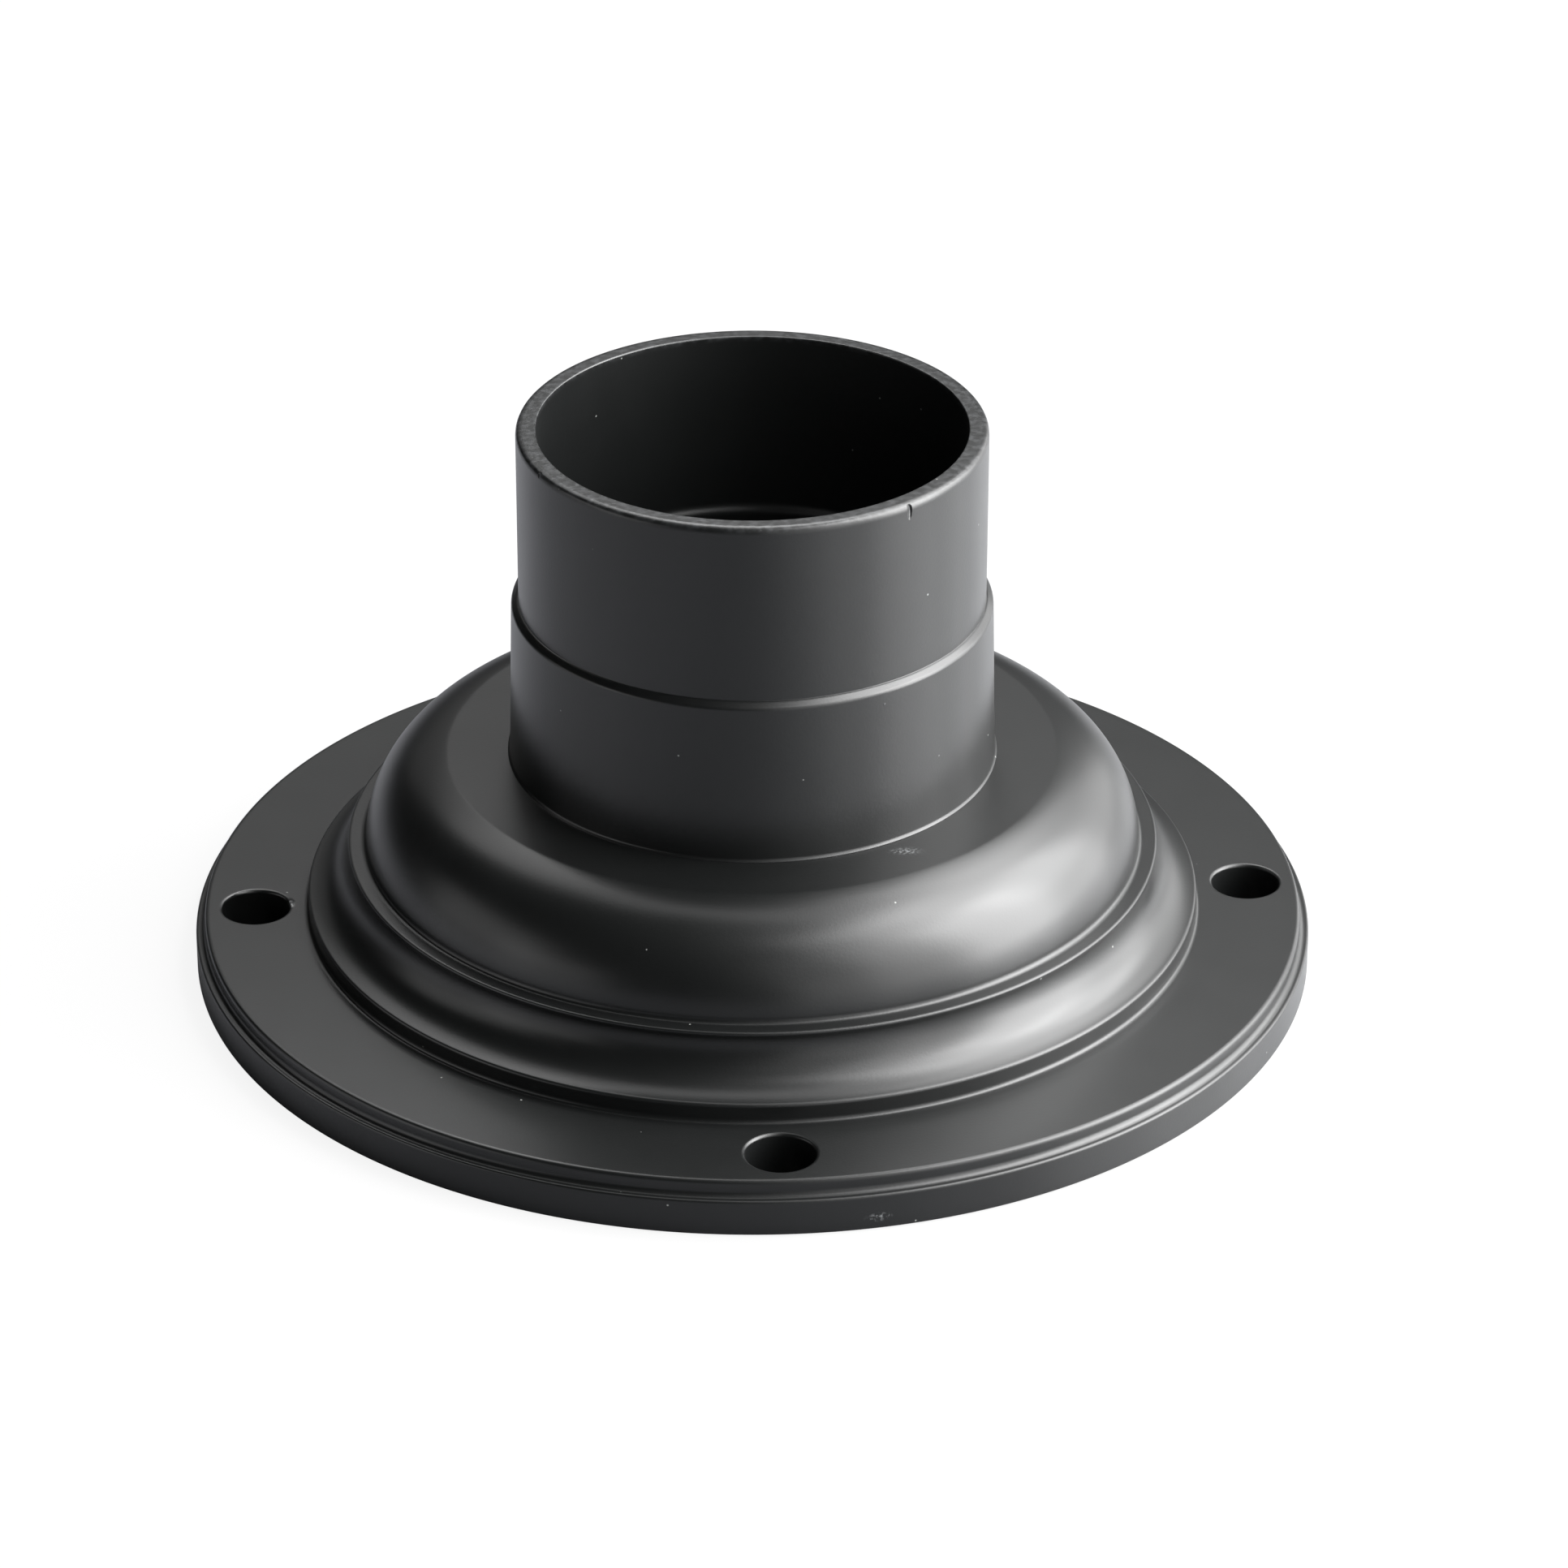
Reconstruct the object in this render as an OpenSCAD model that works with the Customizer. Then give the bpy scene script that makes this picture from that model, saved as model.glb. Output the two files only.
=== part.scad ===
// Pier mount base for a post-top lantern. A round cast foot with an ogee dome stands on the pier,
// and a stepped fitter tube screwed to it from below carries the lantern.
// Millimetres, +Z up. The origin is the centre of the underside, and the anchor holes lie on X and Y.

/* [Flange] */
// Outside diameter of the flange
flange_d = 185.4; // [182:0.2:190]
// Height of the flange's flat top above the pier
flange_h = 8.9; // [8.6:0.1:9.5]
// Height of the plain outer wall under the moulded edge
edge_wall_h = 6.2; // [5.8:0.1:6.5]
// Width of the moulded edge, from the flat top out to the wall
edge_w = 2.2; // [2:0.1:2.6]
// Radius of the small cove in the moulded edge
edge_cove_r = 1.8; // [1.4:0.1:1.9]
// Depth of the casting groove under the flange
lighten_depth = 4.5; // [3:0.1:5]

/* [Anchor holes] */
// Number of anchor holes
anchor_count = 4; // [3:1:6]
// Diameter of the circle through the anchor holes
anchor_pcd = 165.4; // [163:0.2:167]
// Diameter of an anchor hole
anchor_hole_d = 11.2; // [9:0.1:12]
// Diameter of the solid boss round an anchor hole
anchor_boss_d = 19; // [17:0.5:20]

/* [Ogee dome] */
// Diameter of the upright step where the dome meets the flange
step_d = 147.8; // [147:0.2:149]
// Height of the arris on top of the step
step_top_z = 12.2; // [11.8:0.1:12.6]
// Radius of the large cove above the step
cove_r = 7.9; // [7.6:0.1:8.1]
// Diameter of the narrow ledge round the dome's foot
ledge_d = 134.2; // [133.6:0.2:135]
// Height of the ledge
ledge_z = 21.2; // [21:0.1:21.6]
// Diameter of the dome at the ledge
dome_d = 128.2; // [127:0.2:129]
// Radius of the dome's quarter-round
dome_r = 16.3; // [16:0.1:16.6]
// Height of the dome's flat top
dome_top_z = 37; // [36.6:0.1:37.1]
// Thickness of the cast wall
wall_t = 4; // [3.5:0.1:4.5]

/* [Web and cavity] */
// Thickness of the web that carries the tube
web_t = 6; // [5.5:0.1:7]
// Diameter of the thick middle of the web
web_d = 88; // [84:1:92]
// Diameter of the hole for the wires
wire_hole_d = 40; // [30:1:42]
// Diameter of the cavity at the underside
cavity_d = 139.6; // [138:0.2:141]
// Height of the cavity's straight mouth
mouth_h = 8; // [6:0.5:9]

/* [Fitter tube] */
// Height of the whole part
total_h = 95; // [90:0.5:100]
// Outside diameter of the spigot that the lantern's fitter slides over
spigot_d = 76.2; // [76:0.1:76.4]
// Diameter of the bore in the spigot
bore_d = 69.7; // [69:0.1:71]
// Height of the shoulder between the collar and the spigot
shoulder_z = 64.8; // [62:0.1:68]
// Diameter of the collar just under the shoulder
collar_top_d = 78.6; // [78:0.1:79]
// Diameter of the collar at its foot
collar_foot_d = 79.8; // [79.4:0.1:80.4]
// Diameter of the bore in the collar
collar_bore_d = 68.4; // [68:0.1:69]
// Height of the register that drops into the web
register_h = 1.6; // [1.2:0.1:2]
// Outside diameter of the register
register_d = 76; // [75:0.1:76.4]

/* [Fasteners] */
// Number of screws that hold the tube
screw_count = 4; // [3:1:4]
// Diameter of the circle through the tube's screws
screw_pcd = 59; // [58:0.5:60]
// Shank diameter of a tube screw
screw_d = 5; // [4:1:5]
// Length of a tube screw under its head
screw_l = 16; // [14:1:16]
// Head diameter of a tube screw
screw_head_d = 9.5; // [9:0.1:10]
// Head height of a tube screw
screw_head_h = 3; // [2.8:0.1:3.4]
// Thickness of a split lock washer
lock_washer_t = 1.3; // [1:0.1:1.5]
// Distance of the ground screw from the middle
ground_r = 27; // [26:0.5:28]

/* [Seals] */
// Thickness of the ring seal under the tube's register
seal_t = 1; // [0.8:0.1:1.2]
// Width of the foam gasket under the flange
gasket_w = 4.4; // [4:0.1:4.8]
// Thickness of the foam gasket, flush with the underside
gasket_t = 1.5; // [1:0.1:2]

/* [Hidden] */
$fn = 128;
small = 0.01;
flange_r = flange_d / 2;
flat_r = flange_r - edge_w;
anchor_pitch_r = anchor_pcd / 2;
step_r = step_d / 2;
ledge_r = ledge_d / 2;
cut_over = 1;
step_fillet = 0.6;
ledge_round = 0.5;
dome_fillet = 0.8;
dome_fillet_inset = 0.05;
cove_inset = 0.2;
cove_drop = 0.05;
cove_x = ledge_r + cove_r - cove_inset;
cove_z = step_top_z + cove_r - cove_drop;
dome_rise = 16.1;
dome_x = dome_d / 2 - dome_r;
dome_z = dome_top_z - dome_rise;
cavity_r = cavity_d / 2;
cavity_dome_r = dome_r - wall_t;
web_z = dome_top_z - web_t;
seat_gap = 0.2;
seat_z = dome_top_z - register_h - seal_t;
seat_r = register_d / 2 + seat_gap;
seat_inner_gap = 0.3;
seat_inner_r = collar_bore_d / 2 - seat_inner_gap;
spigot_r = spigot_d / 2;
bore_r = bore_d / 2;
collar_bore_r = collar_bore_d / 2;
rim_round = 0.7;
shoulder_round = 0.9;
shoulder_cove = 0.3;
edge_round = 0.4;
screw_pitch_r = screw_pcd / 2;
first_screw_angle = 45;
lug_r = 5.5;
lug_h = 12;
lug_back = 2;
lug_embed = 1;
tapped_depth = 11;
tap_gap = 0.05;
through_gap = 0.3;
lock_washer_d = 9;
lock_washer_bore_d = 5.3;
split_w = 0.9;
screw_seat_z = web_z - lock_washer_t;
ground_boss_r = 4.5;
ground_boss_h = 6;
ground_seat_z = web_z - ground_boss_h;
ground_screw_d = 4;
ground_screw_l = 8;
ground_tap_depth = 9;
ground_washer_d = 9;
ground_washer_t = 1;
ground_flange_t = 1;
ground_flange_d = 8.4;
ground_hex_af = 7;
ground_hex_h = 3;
screw_head_round = 1.2;
drive_span = 4.8;
drive_slot_w = 1.2;
drive_depth = 1.6;
gasket_inset = 0.8;
gasket_r = cavity_r + gasket_inset;
gasket_groove_gap = 0.2;
gasket_groove_r = gasket_r + gasket_w + gasket_groove_gap;
groove_in_r = 77.6;
groove_out_r = flange_r - wall_t;
casting_colour = "#2f3031";
zinc_colour = "#b9bcbe";
rubber_colour = "#1b1c1c";
ground_colour = "#2f7d46";

// A rectangle in the half plane that is turned about the axis: from radius a to b, height lo to hi.
module band(a, b, lo, hi) {
    translate([a, lo]) square([b - a, hi - lo]);
}

// What a round-over of radius r takes off an outer corner at radius x, height z.
module outer_corner(x, z, r) {
    translate([x - r, z - r]) difference() {
        square(r + cut_over);
        circle(r);
    }
}

// What a round-over of radius r takes off an inner corner at radius x, height z.
module inner_corner(x, z, r) {
    translate([x, z]) mirror([1, 0]) translate([-x, -z]) outer_corner(x, z, r);
}

// Concave fillet of radius r in the corner of a floor at height z and a wall at radius x.
module fillet(x, z, r) {
    difference() {
        band(x - cut_over, x + r, z - cut_over, z + r);
        translate([x + r, z + r]) circle(r);
    }
}

module around(count, radius, start) {
    for (i = [0:count - 1]) rotate(start + i * 360 / count) translate([radius, 0, 0]) children();
}

// The casting's outside: flange with a moulded edge, step, cove, ledge and quarter-round dome.
module foot_outline() {
    difference() {
        union() {
            band(0, flange_r, 0, edge_wall_h);
            band(0, flat_r, 0, flange_h);
            fillet(flat_r, edge_wall_h, edge_cove_r);
            fillet(step_r, flange_h, step_fillet);
            difference() {
                band(0, step_r, 0, ledge_z);
                translate([cove_x, cove_z]) circle(cove_r);
                band(ledge_r, step_r + cut_over, cove_z, ledge_z + cut_over);
                outer_corner(ledge_r, ledge_z, ledge_round);
            }
            fillet(dome_d / 2 - dome_fillet_inset, ledge_z, dome_fillet);
            band(0, dome_d / 2, 0, dome_z);
            band(0, dome_x, 0, dome_top_z);
            intersection() {
                translate([dome_x, dome_z]) circle(dome_r);
                band(dome_x - cut_over, dome_d / 2 + cut_over, dome_z - cut_over, dome_top_z);
            }
        }
        outer_corner(flange_r, edge_wall_h, edge_round);
        outer_corner(flat_r, flange_h, edge_round);
    }
}

// The casting's inside: a straight mouth, a sloped wall, a quarter-round and the web's underside.
module cavity_outline() {
    band(0, cavity_r, -cut_over, mouth_h);
    polygon([[0, 0], [cavity_r, mouth_h - small], [dome_x + cavity_dome_r, dome_z], [0, dome_z]]);
    band(0, web_d / 2, dome_z - cut_over, web_z);
    intersection() {
        translate([dome_x, dome_z]) circle(cavity_dome_r);
        band(web_d / 2 - cut_over, dome_x + cavity_dome_r + cut_over, dome_z - cut_over, dome_top_z);
    }
    band(web_d / 2 - cut_over, dome_x, dome_z - cut_over, web_z);
}

module base_casting() {
    color(casting_colour) difference() {
        union() {
            rotate_extrude() difference() {
                foot_outline();
                cavity_outline();
                band(-cut_over, wire_hole_d / 2, web_z - cut_over, dome_top_z + cut_over);
                band(seat_inner_r, seat_r, seat_z, dome_top_z + cut_over);
                band(gasket_r - gasket_groove_gap, gasket_groove_r, -cut_over, gasket_t);
            }
            translate([ground_r, 0, ground_seat_z])
                cylinder(h = ground_boss_h + cut_over, r = ground_boss_r);
        }
        difference() {
            rotate_extrude() band(groove_in_r, groove_out_r, -cut_over, lighten_depth);
            around(anchor_count, anchor_pitch_r, 0) translate([0, 0, -2 * cut_over])
                cylinder(h = flange_h, d = anchor_boss_d);
        }
        around(anchor_count, anchor_pitch_r, 0) translate([0, 0, -cut_over])
            cylinder(h = flange_h + 2 * cut_over, d = anchor_hole_d);
        around(screw_count, screw_pitch_r, first_screw_angle) translate([0, 0, web_z - cut_over])
            cylinder(h = web_t + 2 * cut_over, d = screw_d + 2 * through_gap);
        translate([ground_r, 0, ground_seat_z - cut_over])
            cylinder(h = ground_tap_depth + cut_over, d = ground_screw_d + 2 * tap_gap);
    }
}

// The tube's wall: register, drafted collar, rounded shoulder, spigot and rounded rim.
module tube_outline() {
    difference() {
        union() {
            band(collar_bore_r, register_d / 2, dome_top_z - register_h, dome_top_z + cut_over);
            difference() {
                polygon([
                    [collar_bore_r, dome_top_z],
                    [collar_foot_d / 2, dome_top_z],
                    [collar_top_d / 2, shoulder_z],
                    [collar_bore_r, shoulder_z]
                ]);
                outer_corner(collar_top_d / 2, shoulder_z, shoulder_round);
            }
            band(bore_r, spigot_r, shoulder_z - cut_over, total_h);
            fillet(spigot_r, shoulder_z, shoulder_cove);
        }
        outer_corner(spigot_r, total_h, rim_round);
        inner_corner(bore_r, total_h, rim_round);
    }
}

module fitter_tube() {
    color(casting_colour) difference() {
        union() {
            rotate_extrude() tube_outline();
            intersection() {
                around(screw_count, screw_pitch_r, first_screw_angle) translate([0, 0, dome_top_z])
                    union() {
                        cylinder(h = lug_h, r = lug_r);
                        translate([0, -lug_r, 0]) cube([lug_r + lug_back, 2 * lug_r, lug_h]);
                    }
                cylinder(h = total_h, r = collar_bore_r + lug_embed);
            }
        }
        around(screw_count, screw_pitch_r, first_screw_angle) translate([0, 0, dome_top_z - cut_over])
            cylinder(h = tapped_depth + cut_over, d = screw_d + 2 * tap_gap);
    }
}

module tube_seal() {
    color(rubber_colour) rotate_extrude()
        band(collar_bore_r, register_d / 2, seat_z, seat_z + seal_t);
}

module base_gasket() {
    color(rubber_colour) rotate_extrude() band(gasket_r, gasket_r + gasket_w, 0, gasket_t);
}

// Moves a fastener drawn at the origin, head down, to its place under the web.
module at_screw(i) {
    rotate(first_screw_angle + (i - 1) * 360 / screw_count)
        translate([screw_pitch_r, 0, screw_seat_z]) children();
}

// Pan-head machine screw with a cross recess, shank upwards.
module tube_screw(i) {
    color(zinc_colour) at_screw(i) difference() {
        union() {
            cylinder(h = screw_l, d = screw_d);
            rotate_extrude() difference() {
                band(0, screw_head_d / 2, -screw_head_h, 0);
                translate([0, -screw_head_h]) mirror([0, 1])
                    outer_corner(screw_head_d / 2, 0, screw_head_round);
            }
        }
        for (a = [0, 90]) rotate(a)
            translate([-drive_span / 2, -drive_slot_w / 2, -screw_head_h - cut_over])
            cube([drive_span, drive_slot_w, drive_depth + cut_over]);
    }
}

// Split lock washer between a screw's head and the web.
module tube_lock_washer(i) {
    color(zinc_colour) at_screw(i) difference() {
        cylinder(h = lock_washer_t, d = lock_washer_d);
        translate([0, 0, -cut_over]) cylinder(h = lock_washer_t + 2 * cut_over, d = lock_washer_bore_d);
        translate([0, -split_w / 2, -cut_over])
            cube([lock_washer_d, split_w, lock_washer_t + 2 * cut_over]);
    }
}

// Hex washer-head screw for the ground wire, with a driver slot.
module ground_screw() {
    washer_z = ground_seat_z - ground_washer_t;
    color(ground_colour) translate([ground_r, 0, washer_z]) difference() {
        union() {
            cylinder(h = ground_screw_l, d = ground_screw_d);
            translate([0, 0, -ground_flange_t]) cylinder(h = ground_flange_t, d = ground_flange_d);
            translate([0, 0, -ground_flange_t - ground_hex_h])
                cylinder(h = ground_hex_h, d = ground_hex_af / cos(30), $fn = 6);
        }
        translate([-ground_hex_af, -drive_slot_w / 2, -ground_flange_t - ground_hex_h - cut_over])
            cube([2 * ground_hex_af, drive_slot_w, drive_depth + cut_over]);
    }
}

module ground_cup_washer() {
    color(zinc_colour) translate([ground_r, 0, ground_seat_z - ground_washer_t]) difference() {
        cylinder(h = ground_washer_t, d = ground_washer_d);
        translate([0, 0, -cut_over])
            cylinder(h = ground_washer_t + 2 * cut_over, d = ground_screw_d + through_gap);
    }
}

base_casting();
fitter_tube();
tube_seal();
base_gasket();
ground_screw();
ground_cup_washer();
for (i = [1:screw_count]) {
    tube_screw(i);
    tube_lock_washer(i);
}
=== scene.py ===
import bpy
import bmesh
import math
from mathutils import Matrix, Vector


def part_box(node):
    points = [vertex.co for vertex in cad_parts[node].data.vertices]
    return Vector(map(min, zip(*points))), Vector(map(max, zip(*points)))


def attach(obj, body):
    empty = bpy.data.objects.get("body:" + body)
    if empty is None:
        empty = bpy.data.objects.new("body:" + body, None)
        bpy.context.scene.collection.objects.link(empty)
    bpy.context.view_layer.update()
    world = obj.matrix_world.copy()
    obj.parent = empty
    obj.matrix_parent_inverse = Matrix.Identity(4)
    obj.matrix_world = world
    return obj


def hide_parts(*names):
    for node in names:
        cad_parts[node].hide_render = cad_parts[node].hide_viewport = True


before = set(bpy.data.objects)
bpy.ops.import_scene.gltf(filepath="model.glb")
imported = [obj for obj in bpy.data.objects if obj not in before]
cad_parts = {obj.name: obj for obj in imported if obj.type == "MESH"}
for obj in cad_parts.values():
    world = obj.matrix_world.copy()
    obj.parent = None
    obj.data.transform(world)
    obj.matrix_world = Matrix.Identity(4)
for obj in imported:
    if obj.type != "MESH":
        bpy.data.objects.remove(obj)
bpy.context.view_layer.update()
scene = bpy.context.scene
scene.view_settings.view_transform = "Standard"
mm = 0.001  # shapes are drawn in millimetres and made in metres
weldGap = 1e-7  # points closer than this, in metres, are one point
fullTurn = 2 * math.pi
print("frame loaded, nodes:", len(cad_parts))


def linearColour(hexColour):
    # sRGB hex to the linear colour that Blender's sockets take
    channels = [int(hexColour[i:i + 2], 16) / 255 for i in (1, 3, 5)]
    return tuple(c / 12.92 if c <= 0.04045 else ((c + 0.055) / 1.055) ** 2.4 for c in channels) + (1.0,)


def addNode(tree, kind, settings=None, links=None):
    # one node, with its properties or socket values (a hex colour is made linear), and what feeds each input
    node = tree.nodes.new(kind)
    for key, value in (settings or {}).items():
        if isinstance(value, str) and value.startswith("#"):
            value = linearColour(value)
        if isinstance(key, str) and hasattr(node, key):
            setattr(node, key, value)
        else:
            node.inputs[key].default_value = value
    for key, source in (links or {}).items():
        tree.links.new(source, node.inputs[key])
    return node


def arcPoints(centre, radius, fromDegrees, toDegrees, steps):
    span = toDegrees - fromDegrees
    angles = [math.radians(fromDegrees + span * i / steps) for i in range(steps + 1)]
    return [(centre[0] + radius * math.cos(a), centre[1] + radius * math.sin(a), 0) for a in angles]


def evenPoints(start, end, steps):
    # the points between two ends, without the ends
    return [(start[0] + (end[0] - start[0]) * i / steps, start[1] + (end[1] - start[1]) * i / steps, 0)
            for i in range(1, steps)]


def softOutline(points, bendSteps=5, support=0.12, clearance=1.5):
    # a closed outline of (radius, height, setback): each setback turns its corner into a smooth bend,
    # with a support point close to both ends so that the flats beside it shade flat
    count = len(points)
    at = [0.0]
    for i in range(count):
        a, b = points[i], points[(i + 1) % count]
        at.append(at[-1] + math.hypot(b[0] - a[0], b[1] - a[1]))
    total = at[-1]

    def place(s):
        s %= total
        for i in range(count):
            if at[i] <= s <= at[i + 1]:
                a, b = points[i], points[(i + 1) % count]
                t = (s - at[i]) / max(at[i + 1] - at[i], 1e-9)
                return (a[0] + (b[0] - a[0]) * t, a[1] + (b[1] - a[1]) * t)

    marks = []
    for i in range(count):
        if points[i][2] > 0:
            marks.append((at[i], points[i][2], (points[i][0], points[i][1])))
    kept = []
    for i in range(count):
        clear = all(min(abs(at[i] - s), total - abs(at[i] - s)) > d + support * clearance
                    for s, d, corner in marks)
        if points[i][2] == 0 and clear:
            kept.append((at[i], (points[i][0], points[i][1])))
    for s, d, corner in marks:
        start, end = place(s - d), place(s + d)
        kept.append((s - d - support, place(s - d - support)))
        kept.append((s + d + support, place(s + d + support)))
        for k in range(bendSteps + 1):
            t = k / bendSteps
            bend = [(1 - t) ** 2 * start[j] + 2 * t * (1 - t) * corner[j] + t * t * end[j]
                    for j in (0, 1)]
            kept.append((s - d + 2 * d * t, tuple(bend)))
    kept.sort(key=lambda item: item[0] % total)
    return [p for s, p in kept]


def newTree(name, inputs, output):
    # an empty Geometry Nodes tree with its named inputs and its one output
    tree = bpy.data.node_groups.new(name, "GeometryNodeTree")
    for label, kind in inputs.items():
        tree.interface.new_socket(label, in_out="INPUT", socket_type="NodeSocket" + kind)
    tree.interface.new_socket(output, in_out="OUTPUT", socket_type="NodeSocketGeometry")
    return tree


def turnedTree():
    # turns the outline that it is given about Z; the outline is a closed ring of points in the XZ plane
    inputs = {"Outline": "Geometry", "Turns": "Int", "Finish": "Material"}
    tree = newTree("turnedCasting", inputs, "Casting")
    given = addNode(tree, "NodeGroupInput")
    size = addNode(tree, "GeometryNodeAttributeDomainSize", {}, {"Geometry": given.outputs["Outline"]})
    ringCount, turns = size.outputs["Point Count"], given.outputs["Turns"]
    around = addNode(tree, "ShaderNodeMath", {"operation": "ADD", 1: 1.0}, {0: turns}).outputs[0]
    across = addNode(tree, "ShaderNodeMath", {"operation": "ADD", 1: 1.0}, {0: ringCount}).outputs[0]
    grid = addNode(tree, "GeometryNodeMeshGrid", {}, {"Vertices X": across, "Vertices Y": around})
    index = addNode(tree, "GeometryNodeInputIndex").outputs[0]
    share = addNode(tree, "ShaderNodeMath", {"operation": "DIVIDE"}, {0: index, 1: around}).outputs[0]
    row = addNode(tree, "ShaderNodeMath", {"operation": "FLOOR"}, {0: share}).outputs[0]
    before = addNode(tree, "ShaderNodeMath", {"operation": "MULTIPLY"}, {0: row, 1: around}).outputs[0]
    step = addNode(tree, "ShaderNodeMath", {"operation": "SUBTRACT"}, {0: index, 1: before}).outputs[0]
    pick = addNode(tree, "ShaderNodeMath", {"operation": "FLOORED_MODULO"},
                   {0: row, 1: ringCount}).outputs[0]
    place = addNode(tree, "GeometryNodeInputPosition").outputs[0]
    sample = addNode(tree, "GeometryNodeSampleIndex", {"data_type": "FLOAT_VECTOR", "domain": "POINT"})
    tree.links.new(given.outputs["Outline"], sample.inputs["Geometry"])
    tree.links.new(place, sample.inputs["Value"])
    tree.links.new(pick, sample.inputs["Index"])
    part = addNode(tree, "ShaderNodeMath", {"operation": "DIVIDE"}, {0: step, 1: turns}).outputs[0]
    angle = addNode(tree, "ShaderNodeMath", {"operation": "MULTIPLY", 1: fullTurn}, {0: part}).outputs[0]
    turned = addNode(tree, "ShaderNodeVectorRotate", {"rotation_type": "Z_AXIS"},
                     {"Vector": sample.outputs["Value"], "Angle": angle}).outputs[0]
    moved = addNode(tree, "GeometryNodeSetPosition", {},
                    {"Geometry": grid.outputs["Mesh"], "Position": turned})
    closed = addNode(tree, "GeometryNodeMergeByDistance", {"Distance": weldGap},
                     {"Geometry": moved.outputs[0]})
    smooth = addNode(tree, "GeometryNodeSetShadeSmooth", {}, {"Geometry": closed.outputs[0]})
    real = addNode(tree, "GeometryNodeRealizeInstances", {}, {"Geometry": smooth.outputs[0]})
    finished = addNode(tree, "GeometryNodeSetMaterial", {},
                       {"Geometry": real.outputs[0], "Material": given.outputs["Finish"]})
    addNode(tree, "NodeGroupOutput", {}, {"Casting": finished.outputs[0]})
    return tree


def ringTree():
    # sets copies of the shape that it is given evenly round Z
    inputs = {"Shape": "Geometry", "Count": "Int", "Circle Radius": "Float", "First Angle": "Float",
              "Height": "Float", "Finish": "Material"}
    tree = newTree("fastenersOnCircle", inputs, "Set")
    given = addNode(tree, "NodeGroupInput")
    out = given.outputs
    stand = addNode(tree, "ShaderNodeCombineXYZ", {},
                    {"X": out["Circle Radius"], "Z": out["Height"]}).outputs[0]
    points = addNode(tree, "GeometryNodePoints", {}, {"Count": out["Count"], "Position": stand})
    index = addNode(tree, "GeometryNodeInputIndex").outputs[0]
    part = addNode(tree, "ShaderNodeMath", {"operation": "DIVIDE"},
                   {0: index, 1: out["Count"]}).outputs[0]
    turn = addNode(tree, "ShaderNodeMath", {"operation": "MULTIPLY_ADD", 1: fullTurn},
                   {0: part, 2: out["First Angle"]}).outputs[0]
    place = addNode(tree, "GeometryNodeInputPosition").outputs[0]
    turned = addNode(tree, "ShaderNodeVectorRotate", {"rotation_type": "Z_AXIS"},
                     {"Vector": place, "Angle": turn}).outputs[0]
    moved = addNode(tree, "GeometryNodeSetPosition", {},
                    {"Geometry": points.outputs[0], "Position": turned})
    facing = addNode(tree, "ShaderNodeCombineXYZ", {}, {"Z": turn}).outputs[0]
    copies = addNode(tree, "GeometryNodeInstanceOnPoints", {},
                     {"Points": moved.outputs[0], "Instance": out["Shape"], "Rotation": facing})
    real = addNode(tree, "GeometryNodeRealizeInstances", {}, {"Geometry": copies.outputs[0]})
    finished = addNode(tree, "GeometryNodeSetMaterial", {},
                       {"Geometry": real.outputs[0], "Material": out["Finish"]})
    addNode(tree, "NodeGroupOutput", {}, {"Set": finished.outputs[0]})
    return tree


def newObject(name, mesh):
    made = bpy.data.objects.new(name, mesh)
    scene.collection.objects.link(made)
    return made


def grown(source, tree, values, name):
    # the plain mesh that a Geometry Nodes tree makes from the source, which is then removed
    modifier = source.modifiers.new("nodes", "NODES")
    modifier.node_group = tree
    sockets = {item.name: item.identifier for item in tree.interface.items_tree if item.in_out == "INPUT"}
    for key, value in values.items():
        modifier[sockets[key]] = value
    depsgraph = bpy.context.evaluated_depsgraph_get()
    mesh = bpy.data.meshes.new_from_object(source.evaluated_get(depsgraph))
    mesh.name = name
    bpy.data.objects.remove(source)
    return newObject(name, mesh)


def meshFrom(name, verts, faces=(), edges=()):
    mesh = bpy.data.meshes.new(name)
    mesh.from_pydata(verts, edges, faces)
    return mesh


def outward(piece):
    # merges doubles and turns the faces outwards
    shell = bmesh.new()
    shell.from_mesh(piece.data)
    bmesh.ops.remove_doubles(shell, verts=shell.verts, dist=weldGap)
    bmesh.ops.recalc_face_normals(shell, faces=shell.faces)
    shell.to_mesh(piece.data)
    shell.free()


def stacked(name, rings):
    # a closed solid from rings of points, each above the one before, in mm
    count, last = len(rings[0]), len(rings) - 1
    verts = [(x * mm, y * mm, z * mm) for ring in rings for x, y, z in ring]
    faces = []
    for k in range(last):
        low, high = k * count, (k + 1) * count
        faces += [(low + i, low + (i + 1) % count, high + (i + 1) % count, high + i) for i in range(count)]
    faces += [tuple(reversed(range(count))), tuple(range(last * count, (last + 1) * count))]
    return newObject(name, meshFrom(name, verts, faces))


def turned(name, outline, turns, finish):
    # outline: points (radius, height) in mm
    verts = [(r * mm, 0, z * mm) for r, z in outline]
    edges = [(i, (i + 1) % len(verts)) for i in range(len(verts))]
    source = newObject(name + "Outline", meshFrom(name + "Outline", verts, edges=edges))
    made = grown(source, latheTree, {"Turns": turns, "Finish": finish}, name)
    outward(made)
    return made


def cut(target, tools, operation):
    # an exact boolean of the target with each tool, which is then removed
    for tool in tools:
        modifier = target.modifiers.new("cut", "BOOLEAN")
        modifier.object = tool
        modifier.operation = operation
        modifier.solver = "EXACT"
        depsgraph = bpy.context.evaluated_depsgraph_get()
        mesh = bpy.data.meshes.new_from_object(target.evaluated_get(depsgraph))
        target.modifiers.clear()
        old = target.data
        target.data = mesh
        mesh.name = target.name
        bpy.data.meshes.remove(old)
        bpy.data.objects.remove(tool)


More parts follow.
